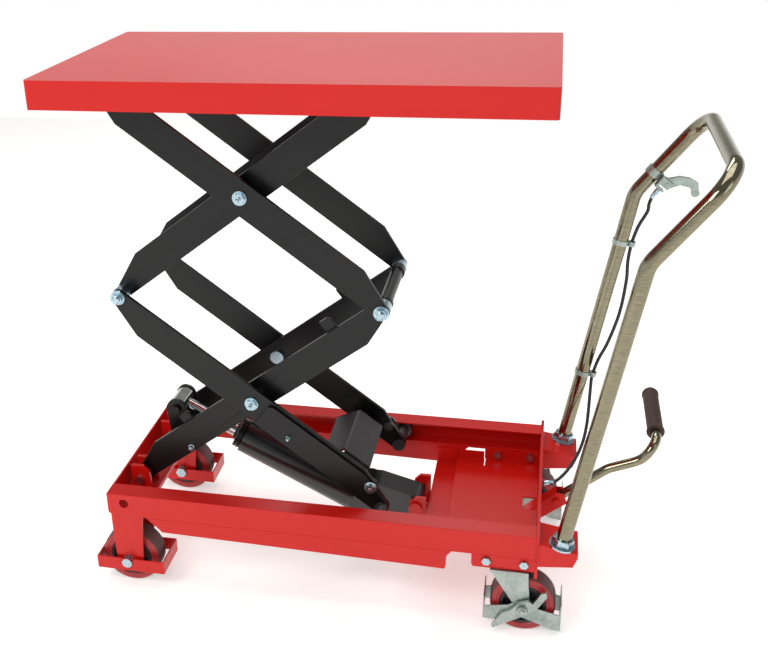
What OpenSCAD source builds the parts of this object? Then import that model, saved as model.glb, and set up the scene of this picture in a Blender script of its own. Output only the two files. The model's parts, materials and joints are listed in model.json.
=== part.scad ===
// Scissor lift table with a double scissor, foot pump and push handle. Millimetres, +Z up.

/* [Overall] */
// Platform length
platform_len = 910; // [760:1:1092]
// Platform width
platform_w = 500; // [480:1:600]
// Angle of the scissor in the drawn pose
lift_angle = 39.3; // [32:0.1:47]
// Height of the handle's cross bar
handle_h = 947; // [780:1:1140]
// Distance over the two side rails
base_w = 436; // [426:1:470]

/* [Scissor] */
// Width of an arm plate
arm_w = 62; // [52:1:64]
// Thickness of an arm plate
arm_t = 8; // [6:0.5:9]
// Diameter of the scissor pins
pin_d = 20; // [16:0.5:24]

/* [Frame] */
// Wheel diameter
wheel_d = 127; // [106:1:152]
// Depth of the platform's skirt
skirt_h = 52; // [43:1:62]
// Platform sheet thickness
sheet = 3; // [2:0.5:3.6]
// Diameter of the handle tube
handle_d = 29; // [24:0.5:32]
// Diameter of the ram rod
rod_d = 30; // [25:0.5:36]

/* [Hidden] */
$fn = 48;
fit = 0.05;
gap = 0.3;
// lengthwise scale of the layout
k = platform_len / 910;
arm_len = 684 * k;
half = arm_len / 2;
off = arm_w / 2 - 15;
nose_r = 15;
plate_a = sqrt(half * half - off * off);
skew = asin(off / half);
plate_ang = lift_angle - skew;
pr = pin_d / 2;
bore_r = pr + fit;
open_r = pr + 0.5;
rise = arm_len * sin(lift_angle);
run = arm_len * cos(lift_angle);
// heights
wr = wheel_d / 2;
rail_z = wheel_d + 48;
rail_h = 52;
rail_top = rail_z + rail_h;
piv_z = rail_z + 27;
joint_z = piv_z + rise;
top_z = piv_z + 2 * rise;
deck_z = top_z + 22;
// lengths
base_x0 = 43;
base_x1 = base_x0 + 876 * k;
piv_x = 79;
roll_x = piv_x + run;
mid_px = piv_x + run / 2;
// sideways layers, measured from the middle plane
in0 = 89;
in1 = in0 + arm_t;
out0 = 121;
out1 = out0 + arm_t;
rail_out = base_w / 2;
rail_in = rail_out - 40;
track = rail_in + 8;
wheel_y = rail_out - 27;
tw = platform_w / 2;
// handle
tilt = 10;
bar_tilt = 37.4;
hr = handle_d / 2;
sock_x = base_x1 + 6;
leg_x = sock_x + 42;
sock_z = rail_z + 36;
leg_z = sock_z - 42 * tan(tilt);
leg_y = rail_out - 18;
leg_l = (handle_h - leg_z) * 0.795;
knee_x = leg_x + leg_l * sin(tilt);
knee_z = leg_z + leg_l * cos(tilt);
up_l = (handle_h - knee_z) / cos(bar_tilt);
bar_x = knee_x + up_l * sin(bar_tilt);
bend_r = 60;
end_x = bar_x + hr;
mid_x = end_x / 2;
// ram
ram_slope = 27;
ram_a = [145 * k, piv_z + 136];
ram_b = [ram_a[0] + 523 * k, ram_a[1] - 186 * k];
rr = rod_d / 2;
bar_r = rr + 23;
gland_s = 142 * k;
bar_s = 440 * k;
rod_s = 330 * k;
// pedal
ped_x = ram_b[0] + 48;
ped_z = wheel_d - 19;
ped_y = 15;
heel = 76;
// castor
king_x = base_x1 - 60;
trail = 42;
cas_x = king_x + trail;
front_x = 77;
front_y = rail_out - 37;

// ---------- helpers ----------

// everything is drawn from the platform's left edge, then centred
module centred() {
  translate([-mid_x, 0, 0])
    children();
}

// a 2D shape in the x-z plane pushed through from y0 to y1
module slab(y0, y1) {
  translate([0, y1, 0])
    rotate([90, 0, 0])
      linear_extrude(height = y1 - y0)
        children();
}

// the same on one side: s is -1 for left and 1 for right
module side_slab(s, ya, yb) {
  slab(min(s * ya, s * yb), max(s * ya, s * yb))
    children();
}

// round bar along y at (x, z)
module ybar(x, z, r, y0, y1) {
  translate([x, y1, z])
    rotate([90, 0, 0])
      cylinder(r = r, h = y1 - y0);
}

module side_bar(s, x, z, r, ya, yb) {
  ybar(x, z, r, min(s * ya, s * yb), max(s * ya, s * yb));
}

module side_hex(s, x, z, r, ya, yb) {
  translate([x, max(s * ya, s * yb), z])
    rotate([90, 0, 0])
      cylinder(r = r, h = yb - ya, $fn = 6);
}

module block(x0, x1, y0, y1, z0, z1) {
  translate([x0, y0, z0])
    cube([x1 - x0, y1 - y0, z1 - z0]);
}

module side_block(s, x0, x1, ya, yb, z0, z1) {
  block(x0, x1, min(s * ya, s * yb), max(s * ya, s * yb), z0, z1);
}

module pt(p, r) {
  translate(p)
    circle(r);
}

// ---------- arm plates ----------

cut = 75;
cut_ang = atan2(arm_w - nose_r, cut) + acos(nose_r / sqrt(cut * cut + (arm_w - nose_r) * (arm_w - nose_r)));
tan_x = nose_r * cos(cut_ang);
tan_z = nose_r * sin(cut_ang);

module arm_outline() {
  polygon([[-plate_a, -arm_w / 2],
    [plate_a - cut, -arm_w / 2],
    [plate_a - tan_x, off - tan_z],
    [plate_a, off],
    [plate_a, arm_w / 2],
    [-plate_a + cut, arm_w / 2],
    [-plate_a + tan_x, -off + tan_z],
    [-plate_a, -off]]);
  pt([-plate_a, -off], nose_r);
  pt([plate_a, off], nose_r);
}

// low_r, mid_r and high_r are the bores at the lower, centre and upper pivots
module arm_plate(low_r, mid_r, high_r) {
  difference() {
    arm_outline();
    pt([-plate_a, -off], low_r);
    circle(mid_r);
    pt([plate_a, off], high_r);
  }
}

// dir is 1 for arms rising to the right and -1 for arms rising to the left
module in_arm(dir, cz) {
  translate([mid_px, 0, cz])
    mirror([dir < 0 ? 1 : 0, 0, 0])
      rotate([0, -plate_ang, 0])
        children();
}

module arm(dir, cz, s, ya, yb, low_r, mid_r, high_r) {
  in_arm(dir, cz)
    side_slab(s, ya, yb)
      arm_plate(low_r, mid_r, high_r);
}

low_cz = piv_z + rise / 2;
up_cz = joint_z + rise / 2;

module stop_tabs(s, cz) {
  in_arm(1, cz)
    side_slab(s, in0 - 8, in0)
      union() {
        polygon([[plate_a - 132, off - 20], [plate_a - 107, off - 20],
          [plate_a - 107, off + 34], [plate_a - 113, off + 40], [plate_a - 132, off + 40]]);
        polygon([[-plate_a + 160, -off + 20], [-plate_a + 185, -off + 20],
          [-plate_a + 185, arm_w / 2 + 12], [-plate_a + 179, arm_w / 2 + 18],
          [-plate_a + 160, arm_w / 2 + 18]]);
      }
}

module lower_inner_arm(s) {
  color("#17161a")
    centred() {
      arm(1, low_cz, s, in0, in1, 8 + fit, bore_r, bore_r);
      stop_tabs(s, low_cz);
    }
}

module upper_inner_arm(s) {
  color("#17161a")
    centred()
      arm(1, up_cz, s, in0, in1, bore_r, bore_r, bore_r);
}

module lower_outer_arm(s) {
  color("#17161a")
    centred()
      difference() {
        arm(-1, low_cz, s, out0, out1, bore_r, bore_r, open_r);
        in_arm(-1, low_cz)
          ybar(-plate_a + 46, -off + 25, 6 + fit, -200, 200);
      }
}

module upper_outer_arm(s) {
  color("#17161a")
    centred()
      arm(-1, up_cz, s, out0, out1, bore_r, bore_r, bore_r);
}

// ---------- pins, shafts and rollers ----------

module centre_pin(s, cz) {
  ybar_s = in0 - 8;
  side_bar(s, mid_px, cz, pr, ybar_s, out1 + 1);
  side_bar(s, mid_px, cz, pr + 8, in1, out0 - gap);
  side_bar(s, mid_px, cz, 14, out1 + gap, out1 + 3);
  side_hex(s, mid_px, cz, 12, out1 + 3, out1 + 10);
  side_bar(s, mid_px, cz, 15, in0 - 8, in0);
}

module centre_pins(cz) {
  color("#4c4b4e")
    centred()
      for (s = [-1, 1])
        centre_pin(s, cz);
}

module joint_shaft(x) {
  color("#17161a")
    centred()
      difference() {
        union() {
          ybar(x, joint_z, pr + 3, -in0, in0);
          for (s = [-1, 1])
            side_bar(s, x, joint_z, pr + 6, in0 - 12, in0);
        }
        ybar(x, joint_z, bore_r, -in0 - 1, in0 + 1);
      }
}

module joint_bolts(x) {
  color("#a9c0ca")
    centred()
      for (s = [-1, 1]) {
        side_bar(s, x, joint_z, pr, in0 - 20, out1 + 1);
        side_bar(s, x, joint_z, pr + 6, in1, out0 - gap);
        side_bar(s, x, joint_z, 15, out1 + gap, out1 + 3);
        side_hex(s, x, joint_z, 12, out1 + 3, out1 + 12);
      }
}

module roller(s, x, z, r, ya, yb) {
  color("#3a3a3d")
    centred()
      difference() {
        side_bar(s, x, z, r, ya, yb);
        side_bar(s, x, z, bore_r, ya - 1, yb + 1);
      }
}

roll_r = 20.5;
roll_a = track;
roll_b = track + 24;
up_r = 18;
up_a = 62;
up_b = 86;

module lower_roller(s) {
  roller(s, roll_x, piv_z, roll_r, roll_a, roll_b);
}

module upper_roller(s) {
  roller(s, roll_x, top_z, up_r, up_a, up_b);
}

module top_pivot_pins() {
  color("#a9c0ca")
    centred()
      for (s = [-1, 1]) {
        side_bar(s, piv_x, top_z, pr, 102, out1 + 1);
        side_bar(s, piv_x, top_z, pr + 5, 114 + gap, out0);
        side_bar(s, piv_x, top_z, pr + 5, out1, out1 + 6);
      }
}

// ---------- lower inner arm body ----------

lug_u = 100.5 * k;
lug_n = 16;

// a point given along and across the lower inner arm, from the fixed pivot
function li_x(u, n) = piv_x + u * cos(plate_ang) - n * sin(plate_ang);
function li_z(u, n) = piv_z + u * sin(plate_ang) + n * cos(plate_ang);
bar_px = li_x(lug_u, lug_n);
bar_pz = li_z(lug_u, lug_n);

module ram_lug_outline() {
  difference() {
    union() {
      pt([bar_px, bar_pz], 24);
      pt(ram_a, 22);
      hull_strip([bar_px, bar_pz], ram_a, 21);
    }
    pt([bar_px, bar_pz], 15);
  }
}

// straight band of half width w between two points
module hull_strip(a, b, w) {
  dx = b[0] - a[0];
  dz = b[1] - a[1];
  len = sqrt(dx * dx + dz * dz);
  nx = -dz / len * w;
  nz = dx / len * w;
  polygon([[a[0] + nx, a[1] + nz], [a[0] - nx, a[1] - nz], [b[0] - nx, b[1] - nz], [b[0] + nx, b[1] + nz]]);
}

module ram_lugs() {
  color("#17161a")
    centred() {
      ybar(bar_px, bar_pz, 15, -in0, in0);
      for (s = [-1, 1]) {
        side_slab(s, 30, 38)
          ram_lug_outline();
        side_bar(s, ram_a[0], ram_a[1], pr, 38, 46);
      }
    }
}

// ---------- lower outer arm body ----------

module arm_doublers() {
  color("#17161a")
    centred()
      in_arm(-1, low_cz)
        for (s = [-1, 1])
          side_slab(s, out1, out1 + 6)
            difference() {
              union() {
                polygon([[-plate_a, -arm_w / 2], [-30, -arm_w / 2], [-30, 20], [-40, arm_w / 2 - 6],
                  [-plate_a + cut, arm_w / 2 - 6], [-plate_a + tan_x, -off + tan_z], [-plate_a, -off]]);
                pt([-plate_a, -off], nose_r);
              }
              pt([-plate_a, -off], bore_r);
              pt([-plate_a + 46, -off + 25], 6 + fit);
            }
}

hat_u0 = 63;
hat_u1 = 125;
hat_n0 = -12;
hat_n1 = 33;

module hat_profile() {
  polygon([[-out0, hat_n0], [-82, hat_n0], [-82, hat_n1 - 4], [82, hat_n1 - 4], [82, hat_n0], [out0, hat_n0],
    [out0, hat_n0 + 4], [86, hat_n0 + 4], [86, hat_n1], [-86, hat_n1], [-86, hat_n0 + 4],
    [-out0, hat_n0 + 4]]);
}

module cross_plate() {
  color("#3d3d40")
    centred() {
      in_arm(-1, low_cz)
        translate([-plate_a, 0, -off]) {
          translate([hat_u0, 0, 0])
            rotate([90, 0, 90])
              linear_extrude(height = hat_u1 - hat_u0)
                hat_profile();
          slab(-82, 82)
            polygon([[hat_u1, hat_n1 - 4], [hat_u1, hat_n1], [hat_u1 + 4, hat_n1 - 2], [hat_u1 + 29, -14],
              [hat_u1 + 25, -14]]);
          for (s = [-1, 1]) {
            side_bar(s, 46, 25, 6, out0 - 8, out1 + 15);
            side_hex(s, 46, 25, 11, out0 - 8, out0);
            side_bar(s, 46, 25, 12, out1 + 6, out1 + 8);
            side_hex(s, 46, 25, 10, out1 + 8, out1 + 15);
          }
        }
      for (s = [-1, 1]) {
        side_bar(s, roll_x, piv_z, pr, out0 - 3, roll_b + 3);
        side_bar(s, roll_x, piv_z, pr + 4, out0 - 6, out0);
        side_bar(s, roll_x, piv_z, pr + 4, out1 + 6, roll_a - gap);
        side_bar(s, roll_x, piv_z, pr + 3, roll_b + gap, roll_b + 3);
      }
    }
}

// ---------- upper inner arm body: joint shaft and roller stubs ----------

module left_joint_shaft() {
  joint_shaft(piv_x);
  color("#17161a")
    centred()
      for (s = [-1, 1]) {
        side_bar(s, roll_x, top_z, pr, up_a - 3, in1 + 1);
        side_bar(s, roll_x, top_z, pr + 3, up_a - 3, up_a - gap);
        side_bar(s, roll_x, top_z, pr + 3, up_b + gap, in0);
        side_bar(s, roll_x, top_z, pr + 4, in1, in1 + 5);
      }
}

// ---------- platform ----------

module platform_deck() {
  color("#c41a12")
    centred()
      difference() {
        translate([0, 0, deck_z - skirt_h])
          linear_extrude(height = skirt_h)
            deck_2d(0);
        translate([0, 0, deck_z - skirt_h - 1])
          linear_extrude(height = skirt_h - sheet + 1)
            deck_2d(sheet);
      }
}

module deck_2d(inset) {
  r = 6 - inset;
  x0 = inset;
  x1 = platform_len - inset;
  y1 = tw - inset;
  translate([x0 + r, -y1])
    square([x1 - x0 - 2 * r, 2 * y1]);
  translate([x0, -y1 + r])
    square([x1 - x0, 2 * y1 - 2 * r]);
  for (x = [x0 + r, x1 - r])
    for (y = [-y1 + r, y1 - r])
      translate([x, y])
        circle(r);
}

guide_x0 = piv_x + arm_len * cos(52.5) - 24;
guide_x1 = piv_x + arm_len * cos(5.5) + 24;
guide_z = top_z - up_r - 0.5;

module platform_guides() {
  color("#c41a12")
    centred()
      for (s = [-1, 1]) {
        side_block(s, guide_x0, guide_x1, 54, 57, guide_z, deck_z - sheet);
        side_block(s, guide_x0, guide_x1, 54, up_b + 1, guide_z - 3, guide_z);
        side_slab(s, 106, 114)
          difference() {
            union() {
              polygon([[piv_x - 34, deck_z - sheet], [piv_x - 18, top_z], [piv_x + 18, top_z],
                [piv_x + 34, deck_z - sheet]]);
              pt([piv_x, top_z], 18);
            }
            pt([piv_x, top_z], bore_r);
          }
        side_block(s, piv_x - 34, piv_x - 30, 57, 106, deck_z - sheet - 12, deck_z - sheet);
      }
}

// ---------- fixed frame ----------

module rail_section() {
  // y measured outward from the inner edge, z from the rail's underside
  polygon([[0, 0], [40, 0], [40, rail_h], [0, rail_h], [0, rail_h - 4], [36, rail_h - 4], [36, 6], [0, 6]]);
}

module rail(s) {
  color("#c41a12")
    centred()
      mirror([0, s < 0 ? 1 : 0, 0])
        difference() {
          translate([base_x0, rail_in, rail_z])
            rotate([90, 0, 90])
              linear_extrude(height = base_x1 - base_x0)
                rail_section();
          slab(rail_in - 1, rail_out + 1)
            polygon([[base_x0 - 1, rail_z - 1], [base_x0 + 9, rail_z - 1], [base_x0 + 8, rail_z],
              [base_x0, rail_z + 6], [base_x0 - 1, rail_z + 6]]);
          ybar(piv_x, piv_z + 3, 10, rail_out - 6, rail_out + 1);
        }
}

skirt_x0 = 126;
skirt_x1 = base_x1 - 173 * k;
notch_x = base_x1 - 121;
cut_x = base_x1 - 237 * k;
skirt_lo = rail_z - 44;
skirt_hi = rail_z - 32;

module skirt_outline() {
  polygon([[skirt_x0, rail_z], [skirt_x0 + 33, skirt_hi], [skirt_x1, skirt_lo], [skirt_x1 + 3, skirt_lo + 8],
    [skirt_x1 + 3, rail_z - 12], [skirt_x1 + 14, rail_z]]);
}

module castor_bracket(s) {
  bz = rail_z - 25;
  side_block(s, notch_x, base_x1, rail_out - 4, rail_out, bz, rail_z);
  side_block(s, notch_x, base_x1, rail_in, rail_in + 4, bz, rail_z);
  difference() {
    side_block(s, notch_x + 2, base_x1, rail_in - 28, rail_out - 2, bz - 6, bz);
    translate([king_x, s * wheel_y, bz - 7])
      cylinder(r = 8 + fit, h = 8);
  }
  side_block(s, notch_x, notch_x + 4, rail_in + 4, rail_out - 4, bz, rail_z);
}

module side_skirts() {
  color("#c41a12")
    centred()
      for (s = [-1, 1]) {
        side_slab(s, rail_out - 4, rail_out)
          skirt_outline();
        side_slab(s, rail_in, rail_in + 4)
          skirt_outline();
        side_block(s, skirt_x1 - 2, skirt_x1 + 2, rail_in + 4, rail_out - 4, skirt_lo + 8, rail_z);
        castor_bracket(s);
      }
}

module front_crossmember() {
  w = rail_in;
  color("#c41a12")
    centred() {
      slab(-w, w)
        polygon([[base_x0, rail_z], [base_x0 + 76, rail_z], [base_x0 + 76, rail_z + 10],
          [base_x0 + 72, rail_z + 10], [base_x0 + 72, rail_z + 4], [base_x0 + 4, rail_z + 4],
          [base_x0 + 4, rail_top], [base_x0, rail_top]]);
      for (s = [-1, 1])
        side_block(s, base_x0, base_x0 + 4, w, rail_out - 4, rail_z + 6.5, rail_top - 4);
    }
}

module pivot_clevises() {
  z0 = rail_z + 4;
  color("#c41a12")
    centred()
      for (s = [-1, 1]) {
        side_block(s, piv_x - 18, piv_x + 26, 73, out0 - 2, z0, z0 + 4);
        for (y = [73, out0 - 10])
          side_slab(s, y, y + 8)
            difference() {
              union() {
                polygon([[piv_x - 18, z0 + 4], [piv_x + 26, z0 + 4], [piv_x + 22, piv_z + 22],
                  [piv_x + 8, piv_z + 35], [piv_x - 18, piv_z + 35]]);
              }
              pt([piv_x, piv_z], 8 + fit);
            }
      }
}

module end_plate() {
  color("#c41a12")
    centred()
      difference() {
        rotate([90, 0, 90])
          translate([0, 0, base_x1])
            linear_extrude(height = 6)
              polygon([[-rail_out, rail_z - 44], [rail_out, rail_z - 44], [rail_out, rail_top + 12],
                [rail_out - 5, rail_top + 14], [rail_out - 9, rail_top + 3], [-rail_out, rail_top + 3]]);
        block(base_x1 - 1, base_x1 + 7, ped_y - 24, ped_y + 24, rail_z - 45, rail_z + 4);
        translate([base_x1 - 1, 10, rail_z + 30])
          rotate([0, 90, 0])
            cylinder(r = 5, h = 8);
      }
}

floor_x0 = base_x1 - 229 * k;
floor_z = rail_z - 45;

module floor_plates() {
  seam = floor_x0 + 48;
  low = floor_z + 4;
  high = rail_z - 26;
  narrow = rail_in - 28;
  color("#c41a12")
    centred() {
      block(floor_x0, seam - 1, -rail_in, rail_in, floor_z, low);
      block(seam - 1, seam + 1, -rail_in, rail_in, floor_z, high);
      block(seam + 1, notch_x, -rail_in, rail_in, high - 4, high);
      difference() {
        block(notch_x, base_x1, -narrow, narrow, high - 4, high);
        block(base_x1 - 30, base_x1 + 1, ped_y - 24, ped_y + 24, high - 5, high + 1);
      }
      for (s = [-1, 1]) {
        side_block(s, floor_x0, seam - 1, rail_in - 3, rail_in, low, rail_z - 6);
        side_block(s, seam + 1, notch_x - 1, rail_in - 3, rail_in, high, rail_z - 6);
      }
    }
}

module pump_lugs() {
  lz = floor_z;
  x0 = ram_b[0] - 13;
  x1 = floor_x0;
  color("#c41a12")
    centred() {
      for (s = [-1, 1])
        side_slab(s, 41, 49)
          difference() {
            union() {
              polygon([[x0, lz - 10], [x0, ram_b[1] + 12], [x0 + 13, ram_b[1] + 25], [x1, ram_b[1] + 25],
                [x1, lz], [ped_x + 20, lz], [ped_x + 20, ped_z - 4], [ped_x + 8, ped_z - 14],
                [ped_x - 12, ped_z - 14]]);
            }
            pt(ram_b, bore_r);
            pt([ped_x, ped_z], 6 + fit);
          }
      ybar(ram_b[0], ram_b[1], pr, -55, 55);
      for (s = [-1, 1])
        side_bar(s, ram_b[0], ram_b[1], pr + 4, 49, 55);
      ybar(ped_x, ped_z, 6, -55, 55);
      for (s = [-1, 1])
        side_bar(s, ped_x, ped_z, 10, 49, 55);
    }
}

module socket_outline(t) {
  zt = sock_z;
  drop = tan(tilt);
  polygon([[sock_x, zt - t], [sock_x + 73 - t, zt - (73 - t) * drop - t], [sock_x + 73 - t, rail_z + 13],
    [sock_x + 65 - t, rail_z - 8 + t], [sock_x, rail_z - 15 + t]]);
}

// along the handle leg, starting on the socket's top face
module on_leg(s) {
  translate([leg_x, s * leg_y, leg_z])
    rotate([0, tilt, 0])
      children();
}

module handle_sockets() {
  color("#c41a12")
    centred()
      for (s = [-1, 1])
        difference() {
          side_slab(s, rail_out - 78, rail_out)
            socket_outline(0);
          side_slab(s, rail_out - 74, rail_out - 2.5)
            socket_outline(4);
          on_leg(s)
            translate([0, 0, -20])
              cylinder(r = hr + fit, h = 40);
        }
}

module fork_leg() {
  difference() {
    polygon([[48, rail_z - 4], [117, rail_z - 4], [115, rail_z - 22], [110, wr + 6], [100, wr - 15],
      [58, wr - 15], [50, wr + 6], [48, rail_z - 22]]);
    pt([front_x, wr], 8 + fit);
  }
}

module front_forks() {
  color("#c41a12")
    centred()
      for (s = [-1, 1]) {
        side_block(s, 48, 117, rail_out - 73, rail_out - 1, rail_z - 4, rail_z);
        side_slab(s, rail_out - 6, rail_out - 1)
          fork_leg();
        side_slab(s, rail_out - 73, rail_out - 68)
          fork_leg();
      }
}

guard_x0 = 7;
guard_x1 = 157;
guard_z0 = 40;
guard_z1 = 70;
guard_in = 82;
guard_out = -7;

module toe_guards() {
  a = rail_out - guard_in;
  b = rail_out - guard_out;
  color("#c41a12")
    centred()
      for (s = [-1, 1]) {
        side_block(s, guard_x0, guard_x0 + 3, a, b, guard_z0, guard_z1);
        side_block(s, guard_x1 - 3, guard_x1, a, b, guard_z0, guard_z1);
        for (y = [a, b - 3])
          difference() {
            side_block(s, guard_x0 + 3, guard_x1 - 3, y, y + 3, guard_z0, guard_z1);
            side_bar(s, front_x, wr, 8 + fit, y - 1, y + 4);
          }
      }
}

module front_axles() {
  a = rail_out - guard_in;
  b = rail_out - guard_out;
  color("#9fb0b8")
    centred()
      for (s = [-1, 1]) {
        side_bar(s, front_x, wr, 8, a - 2, b + 2);
        side_bar(s, front_x, wr, 11, b, b + 7);
        side_hex(s, front_x, wr, 13, a - 8, a);
        side_bar(s, front_x, wr, 12, a + 3, rail_out - 73);
        side_bar(s, front_x, wr, 12, rail_out - 68, front_y - 24 - gap);
        side_bar(s, front_x, wr, 12, front_y + 24 + gap, rail_out - 6);
        side_bar(s, front_x, wr, 12, rail_out - 1, b - 3);
      }
}

module frame_fasteners() {
  color("#a9c0ca")
    centred()
      for (s = [-1, 1]) {
        side_bar(s, piv_x, piv_z, 8, 70, out0 - 1);
        side_bar(s, piv_x, piv_z, 10, 67, 73);
        side_bar(s, piv_x, piv_z, 12, 81, in0 - gap);
        side_bar(s, piv_x, piv_z, 12, in1 + gap, out0 - 10);
        side_bar(s, piv_x, piv_z, 10, out0 - 2, out0 + 4);
        for (x = [notch_x + 29, notch_x + 101]) {
          side_hex(s, x, rail_z - 12, 9, rail_out, rail_out + 6);
          side_hex(s, x, rail_z - 12, 9, rail_in - 6, rail_in);
        }
        on_leg(s)
          difference() {
            union() {
              cylinder(r = 25, h = 4);
              translate([0, 0, 4])
                cylinder(r = 21, h = 13, $fn = 6);
              translate([0, 0, 17])
                cylinder(r = 19, h = 2);
            }
            translate([0, 0, -1])
              cylinder(r = hr + fit, h = 30);
          }
      }
}

// ---------- handle ----------

module ring_2d() {
  difference() {
    circle(hr);
    circle(hr - 2.5);
  }
}

module tube(len) {
  linear_extrude(height = len)
    ring_2d();
}

// a bend that starts along +z at the origin and leans by ang towards +x
module lean(r, ang) {
  translate([r, 0, 0])
    rotate([90, 0, 0])
      mirror([1, 0, 0])
        rotate_extrude(angle = ang)
          translate([r, 0])
            children();
}

// what follows such a bend
module after_lean(r, ang) {
  translate([r, 0, 0])
    rotate([0, ang, 0])
      translate([-r, 0, 0])
        children();
}

knee_cut = bend_r * tan((bar_tilt - tilt) / 2);
bar_half = leg_y - bend_r;
leg_in = 28;

// one half of the handle from inside the socket to the middle of the bar
module handle_half(s) {
  turn = bar_tilt - tilt;
  mirror([0, s > 0 ? 1 : 0, 0])
    translate([leg_x, -leg_y, leg_z])
      rotate([0, tilt, 0]) {
        translate([0, 0, -leg_in])
          tube(leg_in + leg_l - knee_cut);
        translate([0, 0, leg_l - knee_cut]) {
          lean(bend_r, turn)
            ring_2d();
          after_lean(bend_r, turn) {
            tube(up_l - knee_cut - bend_r);
            translate([0, 0, up_l - knee_cut - bend_r])
              rotate([0, 0, 90]) {
                lean(bend_r, 90)
                  ring_2d();
                after_lean(bend_r, 90)
                  tube(bar_half);
              }
          }
        }
      }
}

module handle_tube() {
  color("#b9b8b4")
    centred() {
      handle_half(-1);
      handle_half(1);
    }
}

// a point on the far leg: d along it from the socket, q behind it
function leg_px(d, q) = leg_x + d * sin(tilt) + q * cos(tilt);
function leg_pz(d, q) = leg_z + d * cos(tilt) - q * sin(tilt);
function arm_px(d, q) = knee_x + d * sin(bar_tilt) + q * cos(bar_tilt);
function arm_pz(d, q) = knee_z + d * cos(bar_tilt) - q * sin(bar_tilt);

clip_d = [0.3 * leg_l, 0.82 * leg_l];
cab_r = 3.5;
cab_q = hr + 8;
lev_d = up_l - 38;

// frame along the upper part of the far leg, x away from the operator's side
module on_upper(s) {
  translate([knee_x, s * leg_y, knee_z])
    rotate([0, bar_tilt, 0])
      children();
}

module cable_clips() {
  color("#b9b8b4")
    centred() {
      for (d = clip_d)
        on_leg(1)
          translate([0, 0, d])
            difference() {
              union() {
                translate([0, 0, -5])
                  cylinder(r = hr + 2, h = 10);
                translate([cab_q, 0, -5])
                  cylinder(r = cab_r + 4, h = 10);
              }
              translate([0, 0, -6])
                cylinder(r = hr + fit, h = 12);
              translate([cab_q, 0, -6])
                cylinder(r = cab_r + 1.5, h = 12);
            }
      on_upper(1)
        translate([0, 0, lev_d - 110])
          difference() {
            union() {
              translate([0, 0, -8])
                cylinder(r = hr + 3, h = 16);
              translate([hr - 1, -12, -8])
                cube([24, 4, 16]);
              translate([hr - 1, -28, -8])
                cube([24, 4, 16]);
              translate([hr - 1, -28, -8])
                cube([4, 20, 16]);
              translate([hr - 1, -28, -17])
                cube([20, 20, 3]);
              translate([hr - 1, -28, -17])
                cube([4, 20, 10]);
            }
            translate([0, 0, -9])
              cylinder(r = hr + fit, h = 18);
            translate([hr + 15, -40, 0])
              rotate([-90, 0, 0])
                cylinder(r = 3 + fit, h = 60);
          }
      on_upper(1)
        translate([hr + 15, -30, lev_d - 110])
          rotate([-90, 0, 0])
            cylinder(r = 3, h = 24);
    }
}

// curved finger lever hanging inside the loop
module release_lever() {
  color("#b9b8b4")
    centred()
      on_upper(1)
        translate([hr + 15, -18, lev_d - 110])
          difference() {
            slab(-5, 5)
              union() {
                circle(9);
                polygon([[-5, -8], [9, -4], [20, 14], [38, 22], [50, 14], [58, 24], [44, 38], [26, 36],
                  [8, 26], [-8, 6]]);
                pt([53, 20], 8);
              }
            ybar(0, 0, 3 + fit, -8, 8);
          }
}

// release cable: one swept tube through points chosen by hand
cab_pts = [
  [arm_px(lev_d - 127.5, 11 + hr), leg_y - 18, arm_pz(lev_d - 127.5, 11 + hr)],
  [arm_px(lev_d - 145, 12 + hr), leg_y - 17, arm_pz(lev_d - 145, 12 + hr)],
  [arm_px(2, 20 + hr), leg_y - 9, arm_pz(2, 20 + hr)],
  [leg_px(leg_l - 32, 19 + hr), leg_y - 4, leg_pz(leg_l - 32, 19 + hr)],
  [leg_px(clip_d[1] + 40, cab_q + 3), leg_y, leg_pz(clip_d[1] + 40, cab_q + 3)],
  [leg_px(clip_d[1] + 10, cab_q), leg_y, leg_pz(clip_d[1] + 10, cab_q)],
  [leg_px(clip_d[1] - 10, cab_q), leg_y, leg_pz(clip_d[1] - 10, cab_q)],
  [leg_px(clip_d[1] - 40, cab_q + 3), leg_y, leg_pz(clip_d[1] - 40, cab_q + 3)],
  [leg_px(0.68 * leg_l, 19 + hr), leg_y - 2, leg_pz(0.68 * leg_l, 19 + hr)],
  [leg_px(0.56 * leg_l, 24 + hr), leg_y - 4, leg_pz(0.56 * leg_l, 24 + hr)],
  [leg_px(0.44 * leg_l, 19 + hr), leg_y - 2, leg_pz(0.44 * leg_l, 19 + hr)],
  [leg_px(clip_d[0] + 40, cab_q + 3), leg_y, leg_pz(clip_d[0] + 40, cab_q + 3)],
  [leg_px(clip_d[0] + 10, cab_q), leg_y, leg_pz(clip_d[0] + 10, cab_q)],
  [leg_px(clip_d[0] - 10, cab_q), leg_y, leg_pz(clip_d[0] - 10, cab_q)],
  [leg_px(clip_d[0] - 38, cab_q + 4), leg_y - 6, leg_pz(clip_d[0] - 38, cab_q + 4)],
  [sock_x + 88, leg_y - 60, leg_z + 74],
  [sock_x + 76, leg_y - 105, leg_z + 40],
  [sock_x + 52, leg_y - 150, leg_z + 14],
  [sock_x + 26, 18, rail_z + 31],
  [sock_x + 3, 10, rail_z + 30]];

cab_n = len(cab_pts) - 1;
cab_sides = 8;
cab_rings = 76;

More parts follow.
